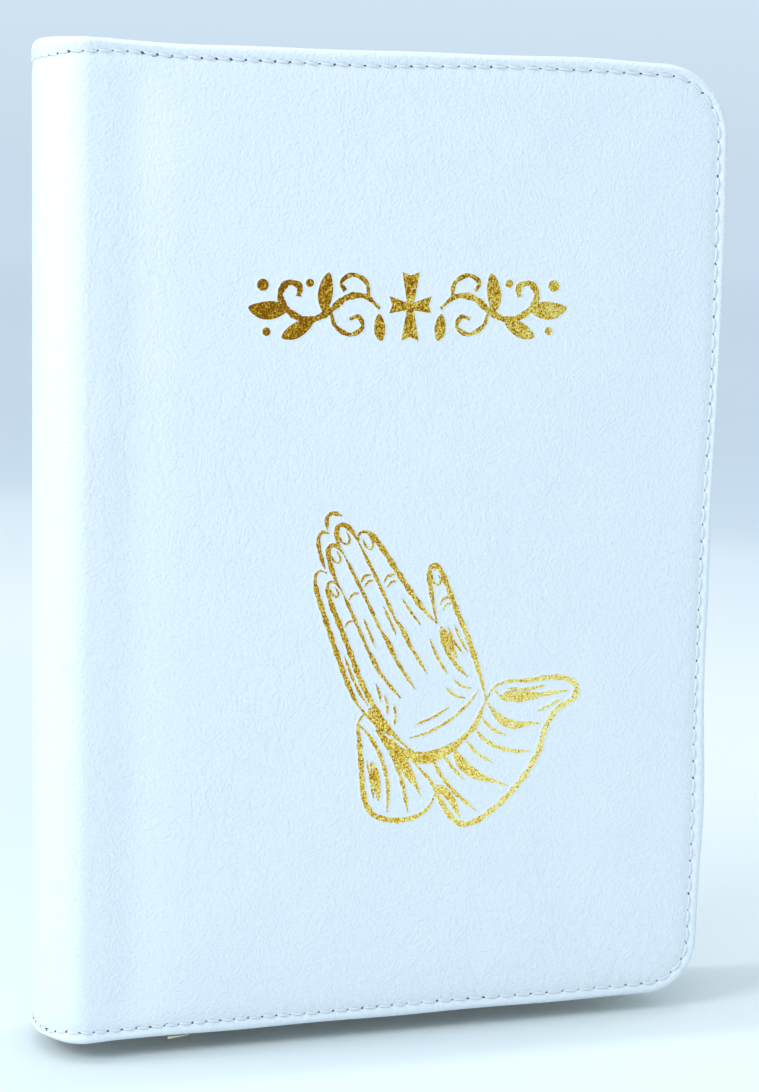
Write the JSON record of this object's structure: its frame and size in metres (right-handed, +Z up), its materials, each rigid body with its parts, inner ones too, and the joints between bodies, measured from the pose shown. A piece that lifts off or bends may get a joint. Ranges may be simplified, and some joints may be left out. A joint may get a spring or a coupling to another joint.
{
  "type": "prayer book",
  "caption": "Closed prayer book in white stitched leather, with hinged padded covers round a sewn block of pages that opens as a fan.",
  "frame": {"origin": "middle of the base, under the closed book standing on its tail edge", "axes": "+Z up from tail to head, +X from the spine to the fore edge, +Y from the front cover to the back cover"},
  "size_m": [0.136, 0.027, 0.19],
  "materials": {
    "white_leather": "soft, finely grained, satin",
    "padding_foam": "soft foam sheet",
    "cover_board": "matte",
    "inner_lining": "matte, fine grain",
    "sewing_thread": "matte",
    "spine_card": "matte",
    "mull_cloth": "open weave cotton",
    "page_paper": "matte, thin sheets",
    "band_cloth": "satin",
    "ribbon_satin": "satin",
    "flyleaf_paper": "matte, heavier sheet"
  },
  "bodies": {
    "spine_and_block": {"bound_pages": "page_paper", "spine_leather": "white_leather", "spine_thread_head": "sewing_thread", "spine_thread_tail": "sewing_thread", "spine_card": "spine_card", "mull_cloth": "mull_cloth", "head_band": "band_cloth", "tail_band": "band_cloth", "ribbon_marker": "ribbon_satin"},
    "front_cover": {"front_leather": "white_leather", "front_padding": "padding_foam", "front_board": "cover_board", "front_lining": "inner_lining", "front_seam_thread": "sewing_thread"},
    "back_cover": {"back_leather": "white_leather", "back_padding": "padding_foam", "back_board": "cover_board", "back_lining": "inner_lining", "back_seam_thread": "sewing_thread"},
    "front_flyleaf": {"front_flyleaf": "flyleaf_paper"},
    "front_section_1": {"front_section_1": "page_paper"},
    "front_section_2": {"front_section_2": "page_paper"},
    "front_section_3": {"front_section_3": "page_paper"},
    "back_flyleaf": {"back_flyleaf": "flyleaf_paper"},
    "back_section_1": {"back_section_1": "page_paper"},
    "back_section_2": {"back_section_2": "page_paper"},
    "back_section_3": {"back_section_3": "page_paper"}
  },
  "joints": [
    {"name": "front_cover_hinge", "type": "hinge", "parent": "spine_and_block", "child": "front_cover", "pos_m": [-0.06, -0.0136, 0.095], "axis": [0, 0, -1], "range_deg": [0, 180]},
    {"name": "front_flyleaf_fold", "type": "hinge", "parent": "spine_and_block", "child": "front_flyleaf", "pos_m": [-0.051, -0.0094, 0.095], "axis": [0, 0, -1], "range_deg": [0, 135]},
    {"name": "front_section_1_fold", "type": "hinge", "parent": "spine_and_block", "child": "front_section_1", "pos_m": [-0.0502, -0.0089, 0.095], "axis": [0, 0, -1], "range_deg": [0, 108]},
    {"name": "front_section_2_fold", "type": "hinge", "parent": "spine_and_block", "child": "front_section_2", "pos_m": [-0.0481, -0.0063, 0.095], "axis": [0, 0, -1], "range_deg": [0, 81]},
    {"name": "front_section_3_fold", "type": "hinge", "parent": "spine_and_block", "child": "front_section_3", "pos_m": [-0.047, -0.0037, 0.095], "axis": [0, 0, -1], "range_deg": [0, 54]},
    {"name": "back_cover_hinge", "type": "hinge", "parent": "spine_and_block", "child": "back_cover", "pos_m": [-0.06, 0.0136, 0.095], "axis": [0, 0, 1], "range_deg": [0, 180]},
    {"name": "back_flyleaf_fold", "type": "hinge", "parent": "spine_and_block", "child": "back_flyleaf", "pos_m": [-0.051, 0.0094, 0.095], "axis": [0, 0, 1], "range_deg": [0, 135]},
    {"name": "back_section_1_fold", "type": "hinge", "parent": "spine_and_block", "child": "back_section_1", "pos_m": [-0.0502, 0.0089, 0.095], "axis": [0, 0, 1], "range_deg": [0, 108]},
    {"name": "back_section_2_fold", "type": "hinge", "parent": "spine_and_block", "child": "back_section_2", "pos_m": [-0.0481, 0.0063, 0.095], "axis": [0, 0, 1], "range_deg": [0, 81]},
    {"name": "back_section_3_fold", "type": "hinge", "parent": "spine_and_block", "child": "back_section_3", "pos_m": [-0.047, 0.0037, 0.095], "axis": [0, 0, 1], "range_deg": [0, 54]}
  ],
  "couplings": [
    {"joint": "front_flyleaf_fold", "follows": "front_cover_hinge", "ratio": 0.75},
    {"joint": "front_section_1_fold", "follows": "front_cover_hinge", "ratio": 0.6},
    {"joint": "front_section_2_fold", "follows": "front_cover_hinge", "ratio": 0.45},
    {"joint": "front_section_3_fold", "follows": "front_cover_hinge", "ratio": 0.3},
    {"joint": "back_flyleaf_fold", "follows": "back_cover_hinge", "ratio": 0.75},
    {"joint": "back_section_1_fold", "follows": "back_cover_hinge", "ratio": 0.6},
    {"joint": "back_section_2_fold", "follows": "back_cover_hinge", "ratio": 0.45},
    {"joint": "back_section_3_fold", "follows": "back_cover_hinge", "ratio": 0.3}
  ]
}
